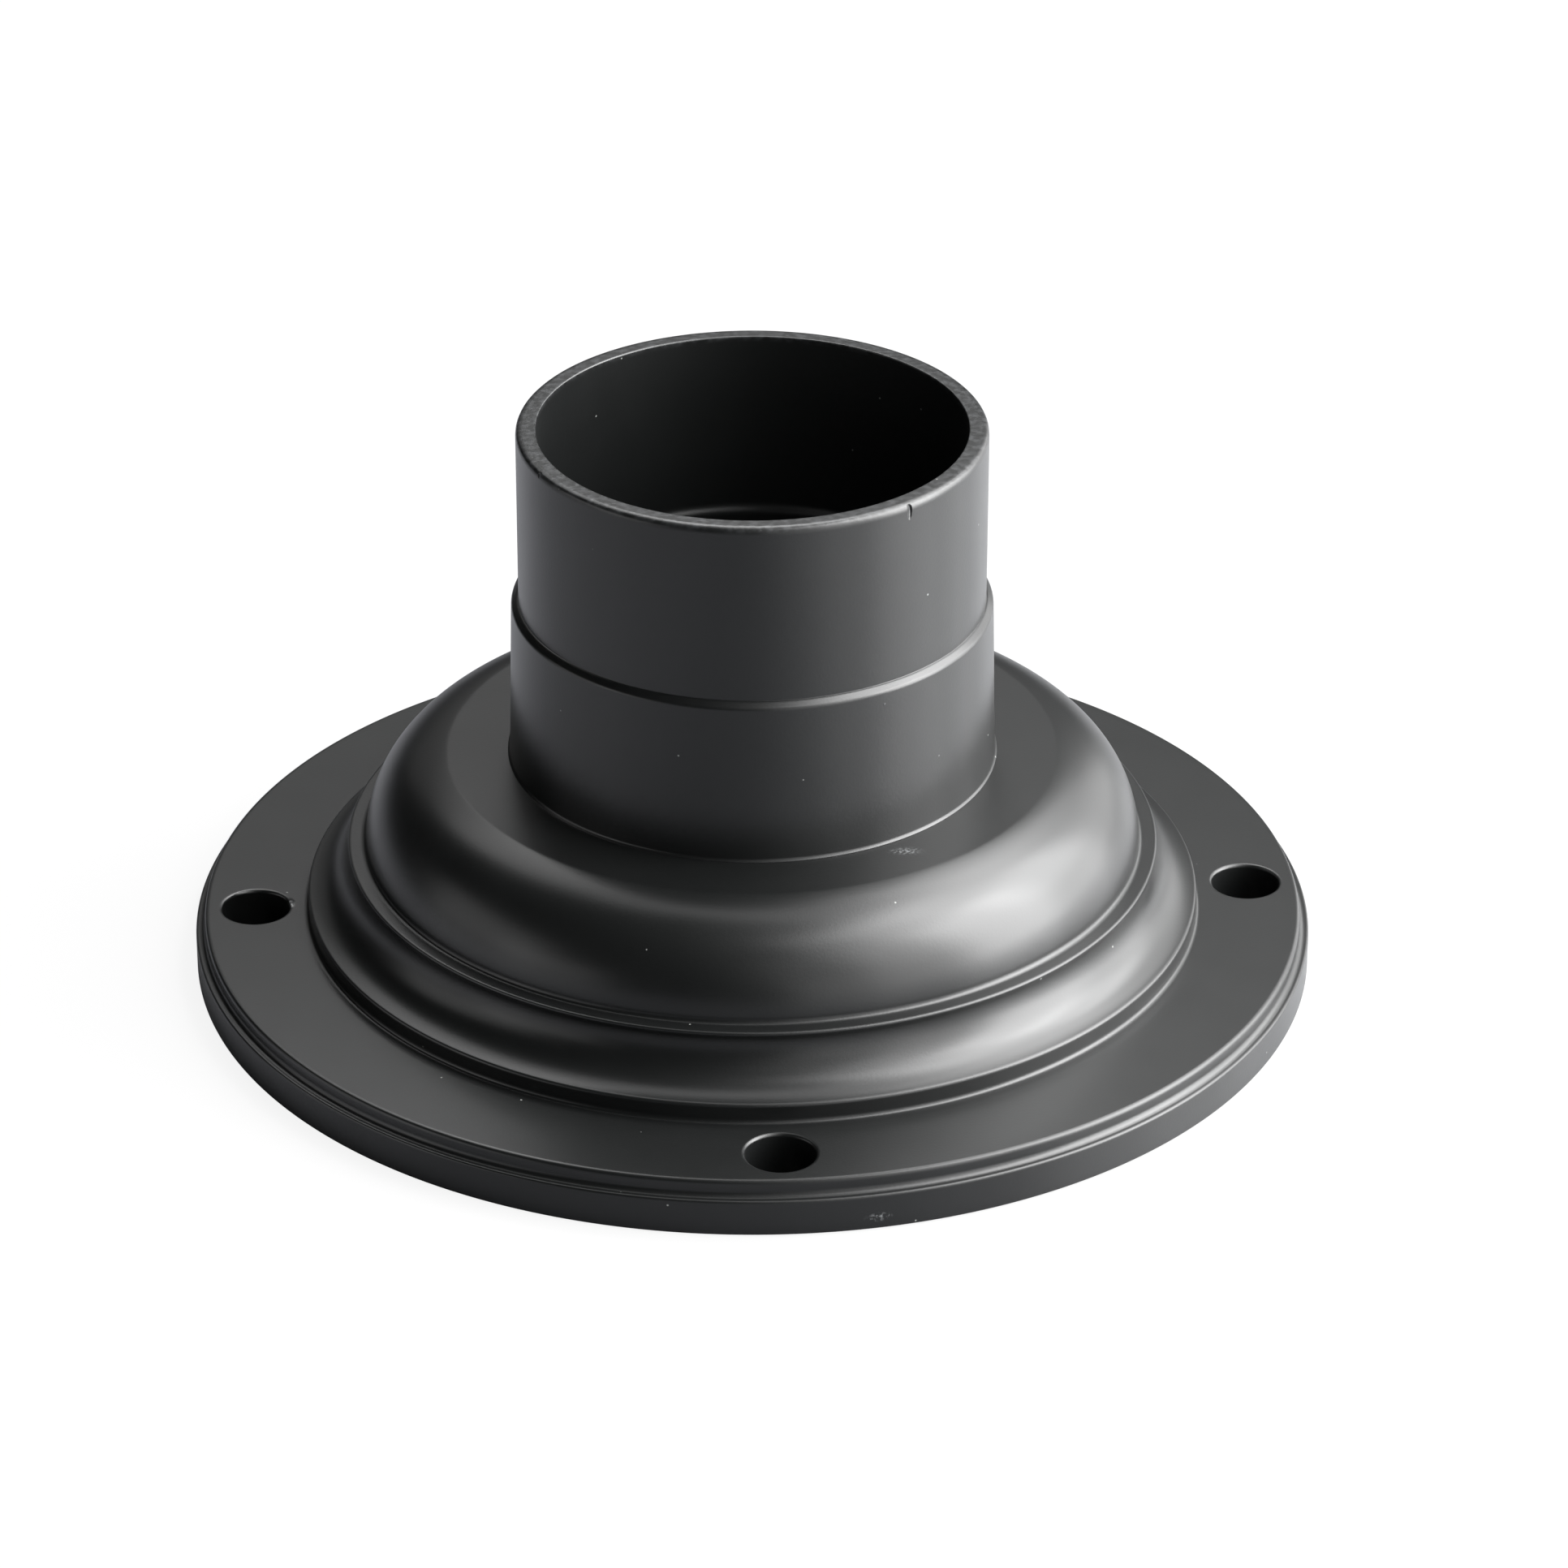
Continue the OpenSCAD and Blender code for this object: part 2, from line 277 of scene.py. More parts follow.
def finishPiece(piece, finish, degrees=38):
    # one material slot for the whole piece, smooth faces and sharp edges where it really turns
    piece.data.materials.clear()
    piece.data.materials.append(finish)
    for face in piece.data.polygons:
        face.material_index = 0
    piece.data.shade_smooth()
    piece.data.set_sharp_from_angle(angle=math.radians(degrees))


def rod(radius, low, high, x=0, y=0, sides=48, name="rod"):
    # a closed upright cylinder, in mm
    ring = [fullTurn * i / sides for i in range(sides)]
    return stacked(name, [[(x + radius * math.cos(a), y + radius * math.sin(a), z) for a in ring]
                          for z in (low, high)])


def block(size, centre, turn=0, name="block"):
    # a closed box, in mm, turned about Z
    made = newObject(name, bpy.data.meshes.new(name))
    shell = bmesh.new()
    bmesh.ops.create_cube(shell, size=1)
    scale = Matrix.Diagonal((size[0] * mm, size[1] * mm, size[2] * mm, 1))
    place = Matrix.Rotation(turn, 4, "Z") @ Matrix.Translation(Vector(centre) * mm)
    shell.transform(place @ scale)
    shell.to_mesh(made.data)
    shell.free()
    return made


# handling marks in the coating: (centre, half sizes, height, paleness), lengths in mm
marks = {
    "rimNick": ((23.1, -30.3, 94.0), (0.55, 0.55, 1.9), -0.90, 0.3),
    "rimPress": ((-34.7, -15.7, 94.8), (0.6, 0.6, 0.9), -0.35, 0.3),
    "holeBurr": ((-77.1, 1.0, 8.7), (1.1, 1.9, 0.9), 0.35, 1.0),
    "wallScuff": ((14.8, -91.6, 2.1), (2.8, 2.0, 1.0), 0.02, 0.9),
    "topScuff": ((22.6, -37.6, 37.1), (3.6, 1.7, 1.0), 0.01, 0.7),
    "collarFleck": ((19.2, -34.5, 61.9), (0.32, 0.32, 0.32), 0.05, 1.0),
}


def newFinish(name):
    # an empty material, its tree, its shader and the object's own coordinates
    finish = bpy.data.materials.new(name)
    finish.use_nodes = True
    tree = finish.node_tree
    where = addNode(tree, "ShaderNodeTexCoord").outputs["Object"]
    return finish, tree, tree.nodes["Principled BSDF"], where


def powderCoat():
    # Satin charcoal powder coat on cast aluminium: a polyester film about 0.08 mm thick, sprayed and
    # baked. It flows out nearly level, so highlights are broad and soft with a very fine grain.
    finish, tree, shader, where = newFinish("powderCoatedCastAluminium")
    look = {
        "body": "#0c0d0d", "faded": "#0f1010", "ior": 1.5,
        "roughness": 0.31, "roughnessSpread": 0.012,
        "grainMm": 0.42, "grainDepth": 0.011, "grainBump": 0.8,
        "flowMm": 9.0, "flowDepth": 0.006, "flowBump": 0.6,
        "speck": "#8d8f8c", "speckMm": 7.0, "speckCore": 0.018, "speckEdge": 0.03, "speckStrength": 0.7,
        "dust": "#77797a", "dustMm": 0.5, "dustFrom": 0.46, "dustTo": 0.66,
        "worn": "#2b2c2d", "wornFrom": 94.0, "wornTo": 94.9, "wornMm": 1.3, "wornDepth": 0.02,
        "wornPatchFrom": 0.42, "wornPatchTo": 0.68, "wornBump": 0.8,
    }
    flow = addNode(tree, "ShaderNodeTexNoise", {"Scale": 1 / (look["flowMm"] * mm), "Detail": 3.0},
                   {"Vector": where})
    grain = addNode(tree, "ShaderNodeTexNoise", {"Scale": 1 / (look["grainMm"] * mm), "Detail": 2.0},
                    {"Vector": where})
    cells = addNode(tree, "ShaderNodeTexVoronoi", {"Scale": 1 / (look["speckMm"] * mm)}, {"Vector": where})
    speck = addNode(tree, "ShaderNodeMapRange",
                    {"From Min": look["speckCore"], "From Max": look["speckEdge"],
                     "To Min": look["speckStrength"], "To Max": 0.0}, {"Value": cells.outputs["Distance"]})
    tint = addNode(tree, "ShaderNodeMix", {"data_type": "RGBA", 6: look["body"], 7: look["faded"]},
                   {0: flow.outputs[0]})
    dusted = addNode(tree, "ShaderNodeMix", {"data_type": "RGBA", 7: look["speck"]},
                     {0: speck.outputs[0], 6: tint.outputs[2]})
    # the tube's rim is rubbed a little by whatever has been pushed over it
    height = addNode(tree, "ShaderNodeSeparateXYZ", {}, {0: where}).outputs["Z"]
    rimBand = addNode(tree, "ShaderNodeMapRange",
                      {"From Min": look["wornFrom"] * mm, "From Max": look["wornTo"] * mm},
                      {"Value": height})
    rub = addNode(tree, "ShaderNodeTexNoise", {"Scale": 1 / (look["wornMm"] * mm), "Detail": 4.0},
                  {"Vector": where})
    rubbed = addNode(tree, "ShaderNodeMapRange",
                     {"From Min": look["wornPatchFrom"], "From Max": look["wornPatchTo"]},
                     {"Value": rub.outputs[0]})
    worn = addNode(tree, "ShaderNodeMath", {"operation": "MULTIPLY"},
                   {0: rimBand.outputs[0], 1: rubbed.outputs[0]})
    bared = addNode(tree, "ShaderNodeMix", {"data_type": "RGBA", 7: look["worn"]},
                    {0: worn.outputs[0], 6: dusted.outputs[2]})
    # each handling mark is a soft ellipsoid in space, broken up by a fine dust where it is pale
    dust = addNode(tree, "ShaderNodeTexNoise", {"Scale": 1 / (look["dustMm"] * mm), "Detail": 3.0},
                   {"Vector": where})
    broken = addNode(tree, "ShaderNodeMapRange", {"From Min": look["dustFrom"], "From Max": look["dustTo"]},
                     {"Value": dust.outputs[0]})
    raised, pale = None, None
    for centre, half, lift, paleness in marks.values():
        near = addNode(tree, "ShaderNodeMapping",
                       {"vector_type": "TEXTURE", "Location": [v * mm for v in centre],
                        "Scale": [v * mm for v in half]}, {"Vector": where})
        reach = addNode(tree, "ShaderNodeVectorMath", {"operation": "LENGTH"}, {0: near.outputs[0]})
        spot = addNode(tree, "ShaderNodeMapRange",
                       {"interpolation_type": "SMOOTHSTEP", "To Min": 1.0, "To Max": 0.0},
                       {"Value": reach.outputs["Value"]}).outputs[0]
        raised = addNode(tree, "ShaderNodeMath", {"operation": "MULTIPLY_ADD", 1: lift, 2: 0.0},
                         {0: spot, 2: raised} if raised else {0: spot}).outputs[0]
        pale = addNode(tree, "ShaderNodeMath", {"operation": "MULTIPLY_ADD", 1: paleness, 2: 0.0},
                       {0: spot, 2: pale} if pale else {0: spot}).outputs[0]
    scuff = addNode(tree, "ShaderNodeMath", {"operation": "MULTIPLY"}, {0: pale, 1: broken.outputs[0]})
    scuffed = addNode(tree, "ShaderNodeMix", {"data_type": "RGBA", 7: look["dust"]},
                      {0: scuff.outputs[0], 6: bared.outputs[2]})
    gloss = addNode(tree, "ShaderNodeMapRange",
                    {"To Min": look["roughness"] - look["roughnessSpread"],
                     "To Max": look["roughness"] + look["roughnessSpread"]}, {"Value": flow.outputs[0]})
    broad = addNode(tree, "ShaderNodeBump", {"Strength": look["flowBump"], "Distance": look["flowDepth"] * mm},
                    {"Height": flow.outputs[0]})
    fine = addNode(tree, "ShaderNodeBump", {"Strength": look["grainBump"], "Distance": look["grainDepth"] * mm},
                   {"Height": grain.outputs[0], "Normal": broad.outputs[0]})
    rimBump = addNode(tree, "ShaderNodeBump",
                      {"Strength": look["wornBump"], "Distance": look["wornDepth"] * mm},
                      {"Height": worn.outputs[0], "Normal": fine.outputs[0]})
    markBump = addNode(tree, "ShaderNodeBump", {"Strength": 1.0, "Distance": mm},
                       {"Height": raised, "Normal": rimBump.outputs[0]})
    tree.links.new(scuffed.outputs[2], shader.inputs["Base Color"])
    tree.links.new(gloss.outputs[0], shader.inputs["Roughness"])
    tree.links.new(markBump.outputs[0], shader.inputs["Normal"])
    shader.inputs["IOR"].default_value = look["ior"]
    return finish


def zincPlate():
    # Bright zinc plate on cold-headed steel: pale blue-grey metal with fine scratches from tumbling.
    finish, tree, shader, where = newFinish("zincPlatedSteel")
    look = {"bright": "#c3c8cc", "dull": "#9aa0a5", "mottleMm": 1.5, "smooth": 0.22, "rough": 0.45,
            "scratchMm": 0.4, "scratchDepth": 0.01, "scratchBump": 0.4}
    mottle = addNode(tree, "ShaderNodeTexNoise", {"Scale": 1 / (look["mottleMm"] * mm), "Detail": 4.0},
                     {"Vector": where})
    scratch = addNode(tree, "ShaderNodeTexNoise", {"Scale": 1 / (look["scratchMm"] * mm), "Detail": 2.0},
                      {"Vector": where})
    tint = addNode(tree, "ShaderNodeMix", {"data_type": "RGBA", 6: look["bright"], 7: look["dull"]},
                   {0: mottle.outputs[0]})
    gloss = addNode(tree, "ShaderNodeMapRange", {"To Min": look["smooth"], "To Max": look["rough"]},
                    {"Value": mottle.outputs[0]})
    bump = addNode(tree, "ShaderNodeBump",
                   {"Strength": look["scratchBump"], "Distance": look["scratchDepth"] * mm},
                   {"Height": scratch.outputs[0]})
    tree.links.new(tint.outputs[2], shader.inputs["Base Color"])
    tree.links.new(gloss.outputs[0], shader.inputs["Roughness"])
    tree.links.new(bump.outputs[0], shader.inputs["Normal"])
    shader.inputs["Metallic"].default_value = 1.0
    return finish


def greenZinc():
    # Green dyed zinc plate, the usual mark of a ground screw: a transparent dye over the metal.
    finish, tree, shader, where = newFinish("greenDyedZincPlate")
    look = {"light": "#2f8f4e", "deep": "#1d5e33", "mottleMm": 1.2, "smooth": 0.25, "rough": 0.45,
            "metal": 0.85}
    mottle = addNode(tree, "ShaderNodeTexNoise", {"Scale": 1 / (look["mottleMm"] * mm), "Detail": 3.0},
                     {"Vector": where})
    tint = addNode(tree, "ShaderNodeMix", {"data_type": "RGBA", 6: look["light"], 7: look["deep"]},
                   {0: mottle.outputs[0]})
    gloss = addNode(tree, "ShaderNodeMapRange", {"To Min": look["smooth"], "To Max": look["rough"]},
                    {"Value": mottle.outputs[0]})
    tree.links.new(tint.outputs[2], shader.inputs["Base Color"])
    tree.links.new(gloss.outputs[0], shader.inputs["Roughness"])
    shader.inputs["Metallic"].default_value = look["metal"]
    return finish


def sealRubber():
    # Moulded EPDM rubber: matt black with a faint grey bloom.
    finish, tree, shader, where = newFinish("mouldedEpdmRubber")
    look = {"body": "#1a1a1a", "bloom": "#262625", "bloomMm": 3.0, "depth": 0.02, "bump": 0.4,
            "roughness": 0.7}
    bloom = addNode(tree, "ShaderNodeTexNoise", {"Scale": 1 / (look["bloomMm"] * mm), "Detail": 4.0},
                    {"Vector": where})
    tint = addNode(tree, "ShaderNodeMix", {"data_type": "RGBA", 6: look["body"], 7: look["bloom"]},
                   {0: bloom.outputs[0]})
    bump = addNode(tree, "ShaderNodeBump", {"Strength": look["bump"], "Distance": look["depth"] * mm},
                   {"Height": bloom.outputs[0]})
    tree.links.new(tint.outputs[2], shader.inputs["Base Color"])
    tree.links.new(bump.outputs[0], shader.inputs["Normal"])
    shader.inputs["Roughness"].default_value = look["roughness"]
    return finish


def gasketFoam():
    # Closed-cell rubber foam: cells of about half a millimetre, cut open on the skin, with the open pits painted
    # darker than the skin as painted shade.
    finish, tree, shader, where = newFinish("closedCellFoam")
    look = {"pit": "#141414", "skin": "#34342f", "cellMm": 0.5, "depth": 0.15, "bump": 0.8,
            "roughness": 0.85}
    cells = addNode(tree, "ShaderNodeTexVoronoi", {"Scale": 1 / (look["cellMm"] * mm)}, {"Vector": where})
    # painted shade: the pits of the open cells are painted dark, the skin between them lighter
    tint = addNode(tree, "ShaderNodeMix", {"data_type": "RGBA", 6: look["pit"], 7: look["skin"]},
                   {0: cells.outputs["Distance"]})
    bump = addNode(tree, "ShaderNodeBump", {"Strength": look["bump"], "Distance": look["depth"] * mm},
                   {"Height": cells.outputs["Distance"]})
    tree.links.new(tint.outputs[2], shader.inputs["Base Color"])
    tree.links.new(bump.outputs[0], shader.inputs["Normal"])
    shader.inputs["Roughness"].default_value = look["roughness"]
    return finish


latheTree = turnedTree()
circleTree = ringTree()
coat = powderCoat()
zinc = zincPlate()
green = greenZinc()
rubber = sealRubber()
foam = gasketFoam()
print("finishes ready")


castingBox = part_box("base_casting")
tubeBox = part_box("fitter_tube")
casting = {
    "flangeR": castingBox[1][0] / mm,  # outer radius
    "topZ": castingBox[1][2] / mm,  # flat top of the dome
    "flangeTop": 8.9,  # flat of the flange
    "flatR": 91.15, "wallTop": 6.1, "edgeCove": 1.0,  # moulded edge
    "stepR": 73.9, "arrisZ": 12.2,
    "coveR": 7.9, "coveIn": 0.2, "coveDown": 0.05,  # large cove, and how far its centre is moved in and down
    "ledgeR": 67.1, "ledgeZ": 21.2,
    "domeR": 64.1, "domeRound": 16.3, "domeRise": 16.1, "annulusR": 50.0,
    "wall": 4.0, "webZ": 31.0, "webR": 44.0, "wireR": 20.0,
    "seatInner": 33.9, "seatOuter": 38.2, "seatZ": 34.4,
    "cavityR": 69.8, "mouthZ": 8.0,
    "gasketIn": 70.4, "gasketOut": 75.2, "gasketZ": 1.5,
    "grooveIn": 77.6, "grooveOut": 88.7, "grooveZ": 4.5,
    "holeR": 5.6, "holePitch": 82.7, "holeRound": 0.55,
    "patchIn": 75.6, "patchOut": 89.6, "patchSteps": 12, "patchHalf": 7,
    "turns": 288, "holes": 4,
    "grooveBossReach": 9.5, "grooveSteps": 40, "overcut": 1.0,
    "groundBossR": 4.5, "groundBossZ": 25.0, "groundTapR": 2.05, "groundTapZ": (24.0, 34.0),
    "screwHoleR": 2.8, "screwPitch": 29.5,
    "patchMargin": 0.5, "levelGap": 1e-6,  # how faces and edges round a hole are picked, degrees and metres
    "holeRings": 6, "holeApron": (0.5, 0.12), "holeMidZ": 3.0,
}
# how far each corner of the casting's section is set back, in mm
castingSoft = {
    "wireEdge": 0.6, "seatLip": 0.25, "seatFoot": 0.15, "crease": 0.35, "domeFoot": 0.8, "ledgeEdge": 0.55,
    "coveTop": 0.25, "stepArris": 0.5, "stepFoot": 0.75, "flatEdge": 0.75, "edgeCove": 0.1, "wallTop": 0.45,
    "wallFoot": 0.4, "gasketCorner": 0.12, "mouthEdge": 0.2, "mouthTop": 1.2, "springing": 1.5,
    "webRoot": 0.4, "webEdge": 0.5,
}


def castingOutline(c, soft):
    # anticlockwise round the section, from the underside of the web at the wire hole
    centre = (c["domeR"] - c["domeRound"], c["topZ"] - c["domeRise"])
    crease = math.degrees(math.asin(c["domeRise"] / c["domeRound"]))
    footAngle = math.degrees(math.asin((c["ledgeZ"] - centre[1]) / c["domeRound"]))
    coveAt = (c["ledgeR"] + c["coveR"] - c["coveIn"], c["arrisZ"] + c["coveR"] - c["coveDown"])
    coveEnd = 180 + math.degrees(math.acos((coveAt[0] - c["stepR"]) / c["coveR"]))
    inner = c["domeRound"] - c["wall"]
    edgeAt = (c["flatR"] + c["edgeCove"], c["wallTop"] + c["edgeCove"])
    corner = soft["gasketCorner"]
    points = [(c["wireR"], c["webZ"], soft["wireEdge"]), (c["wireR"], c["topZ"], soft["wireEdge"])]
    points += evenPoints((c["wireR"], c["topZ"]), (c["seatInner"], c["topZ"]), 3)
    points += [(c["seatInner"], c["topZ"], soft["seatLip"]), (c["seatInner"], c["seatZ"], soft["seatFoot"])]
    points += [(c["seatOuter"], c["seatZ"], soft["seatFoot"]), (c["seatOuter"], c["topZ"], soft["seatLip"])]
    points += evenPoints((c["seatOuter"], c["topZ"]), (c["annulusR"], c["topZ"]), 8)
    dome = arcPoints(centre, c["domeRound"], crease, footAngle, 34)
    points += [(dome[0][0], dome[0][1], soft["crease"])] + dome[1:-1]
    points += [(dome[-1][0], c["ledgeZ"], soft["domeFoot"]), (c["ledgeR"], c["ledgeZ"], soft["ledgeEdge"])]
    cove = arcPoints(coveAt, c["coveR"], 180, coveEnd, 20)
    points += [(cove[0][0], cove[0][1], soft["coveTop"])] + cove[1:-1]
    points += [(c["stepR"], cove[-1][1], soft["stepArris"]), (c["stepR"], c["flangeTop"], soft["stepFoot"])]
    points += [(c["patchIn"], c["flangeTop"], 0)]
    points += evenPoints((c["patchIn"], c["flangeTop"]), (c["patchOut"], c["flangeTop"]), c["patchSteps"])
    points += [(c["patchOut"], c["flangeTop"], 0), (c["flatR"], c["flangeTop"], soft["flatEdge"])]
    edge = arcPoints(edgeAt, c["edgeCove"], 180, 270, 8)
    points += [(edge[0][0], edge[0][1], soft["edgeCove"])] + edge[1:-1] + [(edge[-1][0], edge[-1][1], 0)]
    points += [(c["flangeR"], c["wallTop"], soft["wallTop"])]
    points += evenPoints((c["flangeR"], c["wallTop"]), (c["flangeR"], 0), 3)
    points += [(c["flangeR"], 0, soft["wallFoot"]), (c["patchOut"], 0, 0)]
    points += evenPoints((c["patchOut"], 0), (c["patchIn"], 0), c["patchSteps"])
    points += [(c["patchIn"], 0, 0), (c["gasketOut"], 0, corner), (c["gasketOut"], c["gasketZ"], corner)]
    points += [(c["gasketIn"], c["gasketZ"], corner), (c["gasketIn"], 0, corner)]
    points += [(c["cavityR"], 0, soft["mouthEdge"]), (c["cavityR"], c["mouthZ"], soft["mouthTop"])]
    points += evenPoints((c["cavityR"], c["mouthZ"]), (centre[0] + inner, centre[1]), 5)
    points += [(centre[0] + inner, centre[1], soft["springing"])]
    roof = arcPoints(centre, inner, 0, math.degrees(math.acos((c["webR"] - centre[0]) / inner)), 22)
    points += roof[1:-1]
    points += [(c["webR"], roof[-1][1], soft["webRoot"]), (c["webR"], c["webZ"], soft["webEdge"])]
    points += evenPoints((c["webR"], c["webZ"]), (c["wireR"], c["webZ"]), 6)
    return softOutline(points)


def loopAround(shell, openEdges):
    # puts the vertices of one open boundary in order
    near = {}
    for edge in openEdges:
        for vert in edge.verts:
            near.setdefault(vert, []).append(edge)
    start = min(near, key=lambda v: (round(v.co.x, 6), round(v.co.y, 6)))
    loop, edge = [start], near[start][0]
    while True:
        vert = edge.other_vert(loop[-1])
        if vert is start:
            return loop
        loop.append(vert)
        edge = next(e for e in near[vert] if e is not edge)


def openHole(shell, c, angle):
    # swaps the lathe's faces round one anchor hole for a hole with rounded edges and a straight wall
    middle = Vector((c["holePitch"] * mm * math.cos(angle), c["holePitch"] * mm * math.sin(angle), 0))
    half = math.radians(c["patchHalf"] + c["patchMargin"])
    gap = c["levelGap"]
    loops = []
    for level in (c["flangeTop"] * mm, 0.0):
        faces = []
        for face in shell.faces:
            spot = face.calc_center_median()
            if abs(spot.z - level) > gap:
                continue
            reach = math.hypot(spot.x, spot.y)
            swing = (math.atan2(spot.y, spot.x) - angle + math.pi) % (2 * math.pi) - math.pi
            if c["patchIn"] * mm < reach < c["patchOut"] * mm and abs(swing) < half:
                faces.append(face)
        bmesh.ops.delete(shell, geom=faces, context="FACES")
        openEdges = [e for e in shell.edges if len(e.link_faces) == 1
                     and all(abs(v.co.z - level) < gap for v in e.verts)]
        loop = loopAround(shell, openEdges)
        way = sum((a.co - middle).cross(b.co - middle).z for a, b in zip(loop, loop[1:] + loop[:1]))
        if way < 0:
            loop.reverse()
        bearing = [math.atan2(v.co.y - middle.y, v.co.x - middle.x) for v in loop]
        first = min(range(len(loop)), key=lambda i: abs(bearing[i] - angle % math.pi))
        loops.append(loop[first:] + loop[:first])
    count = len(loops[0])
    startAt = math.atan2(loops[0][0].co.y - middle.y, loops[0][0].co.x - middle.x)
    radius, soft = c["holeR"], c["holeRound"]
    top = c["flangeTop"]
    wide, narrow = c["holeApron"]
    quarter = [math.pi / 2 * k / c["holeRings"] for k in range(c["holeRings"] + 1)]
    rings = [(radius + soft + wide, top), (radius + soft + narrow, top)]
    rings += [(radius + soft * (1 - math.sin(t)), top - soft * (1 - math.cos(t))) for t in quarter]
    rings += [(radius, top - soft - narrow), (radius, c["holeMidZ"]), (radius, soft + narrow)]
    rings += [(radius + soft * (1 - math.cos(t)), soft * (1 - math.sin(t))) for t in quarter]
    rings += [(radius + soft + narrow, 0), (radius + soft + wide, 0)]
    before = loops[0]
    for ringR, height in rings:
        ring = []
        for k in range(count):
            a = startAt + fullTurn * k / count
            spot = middle + Vector((ringR * mm * math.cos(a), ringR * mm * math.sin(a), height * mm))
            ring.append(shell.verts.new(spot))
        for k in range(count):
            shell.faces.new((before[k], before[(k + 1) % count], ring[(k + 1) % count], ring[k]))
        before = ring
    last = loops[1]
    for k in range(count):
        shell.faces.new((before[k], before[(k + 1) % count], last[(k + 1) % count], last[k]))


def grooveTool(c, start):
    # the solid that a casting groove takes out between two bosses, in mm, with rounded ends
    steps = c["grooveSteps"]
    swing = math.asin(c["grooveBossReach"] / c["holePitch"])
    fromA, toA = start + swing, start + math.pi / 2 - swing
    outline = []
    for radius, a0, a1 in ((c["grooveOut"], fromA, toA), (c["grooveIn"], toA, fromA)):
        angles = [a0 + (a1 - a0) * i / steps for i in range(steps + 1)]
        outline += [(radius * math.cos(a), radius * math.sin(a)) for a in angles]
    return stacked("groove", [[(x, y, z) for x, y in outline] for z in (-c["overcut"], c["grooveZ"])])


def makeCasting(c):
    piece = turned("pierMountCasting", castingOutline(c, castingSoft), c["turns"], coat)
    shell = bmesh.new()
    shell.from_mesh(piece.data)
    for k in range(c["holes"]):
        openHole(shell, c, fullTurn * k / c["holes"])
    bmesh.ops.recalc_face_normals(shell, faces=shell.faces)
    shell.to_mesh(piece.data)
    shell.free()
    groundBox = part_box("ground_screw")
    groundX = (groundBox[0][0] + groundBox[1][0]) / 2 / mm
    low, high = c["groundTapZ"]
    over = c["overcut"]
    boss = rod(c["groundBossR"], c["groundBossZ"], c["webZ"] + over, x=groundX, name="groundBoss")
    cut(piece, [boss], "UNION")
    tools = [grooveTool(c, fullTurn * k / c["holes"]) for k in range(c["holes"])]
    tools += [rod(c["groundTapR"], low, high, x=groundX, name="groundTap")]
    for k in range(4):
        a = math.pi / 4 + math.pi / 2 * k
        x, y = c["screwPitch"] * math.cos(a), c["screwPitch"] * math.sin(a)
        tools.append(rod(c["screwHoleR"], c["webZ"] - over, c["topZ"] + over, x, y, name="screwHole"))
    cut(piece, tools, "DIFFERENCE")
    finishPiece(piece, coat)
    return piece


baseCasting = makeCasting(casting)
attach(baseCasting, "root")
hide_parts("base_casting")
print("base casting:", len(baseCasting.data.polygons), "faces")


tube = {
    "footZ": casting["topZ"], "topZ": tubeBox[1][2] / mm,
    "footR": tubeBox[1][0] / mm, "collarR": 39.3,
    "spigotR": 38.1, "boreR": 34.85, "lowBoreR": 34.2,
    "shoulderZ": 64.8, "bevelH": 0.8, "bead": 0.4,  # bead: the coating's thin fillet round the foot
    "ledgeZ": 64.3, "ledgeSlope": 1.3, "registerR": 38.0, "registerZ": tubeBox[0][2] / mm,
    "lugR": 5.5, "lugPitch": 29.5, "lugH": 12.0, "tapR": 2.55, "tapDepth": 11.0,
    "sunk": 0.02, "footProud": 0.1, "beadUp": 1.0, "shoulderLip": 0.25,
    "lugSteps": 24, "lugInWall": 1.0, "lugTop": ((0.8, 1.0), (0.25, 0.955), (0.0, 0.86)),
    "lugs": 4, "tapStart": 1.0, "turns": 360,
}
# how far each corner of the tube's section is set back, in mm
tubeSoft = {
    "register": 0.2, "footCorner": 0.1, "beadEdge": 0.04, "beadTop": 0.2, "collarTop": 0.35,
    "shoulder": 0.22, "spigotFoot": 0.1, "rimOut": 1.15, "rimIn": 0.25, "ledge": 0.5,
}


def tubeOutline(t, soft):
    foot, shoulder, ledge = t["footZ"], t["shoulderZ"], t["ledgeZ"]
    low, bevel = t["registerZ"], t["shoulderZ"] - t["bevelH"]
    slopeEnd = t["ledgeZ"] - t["ledgeSlope"]
    points = [(t["lowBoreR"], low, soft["register"]), (t["registerR"], low, soft["register"])]
    points += [(t["registerR"], foot + t["sunk"], soft["footCorner"])]
    points += [(t["footR"] + t["bead"], foot + t["sunk"], soft["beadEdge"])]
    points += [(t["footR"] + t["footProud"], foot + t["bead"], soft["beadTop"])]
    points += evenPoints((t["footR"], foot + t["beadUp"]), (t["collarR"], bevel), 12)
    points += [(t["collarR"], bevel, soft["collarTop"])]
    points += [(t["spigotR"] + t["shoulderLip"], shoulder, soft["shoulder"])]
    points += [(t["spigotR"], shoulder + t["footProud"], soft["spigotFoot"])]
    points += evenPoints((t["spigotR"], shoulder), (t["spigotR"], t["topZ"]), 12)
    points += [(t["spigotR"], t["topZ"], soft["rimOut"]), (t["boreR"], t["topZ"], soft["rimIn"])]
    points += evenPoints((t["boreR"], t["topZ"]), (t["boreR"], ledge), 8)
    points += [(t["boreR"], ledge, soft["ledge"]), (t["lowBoreR"], slopeEnd, soft["ledge"])]
    points += evenPoints((t["lowBoreR"], slopeEnd), (t["lowBoreR"], low), 8)
    return softOutline(points)


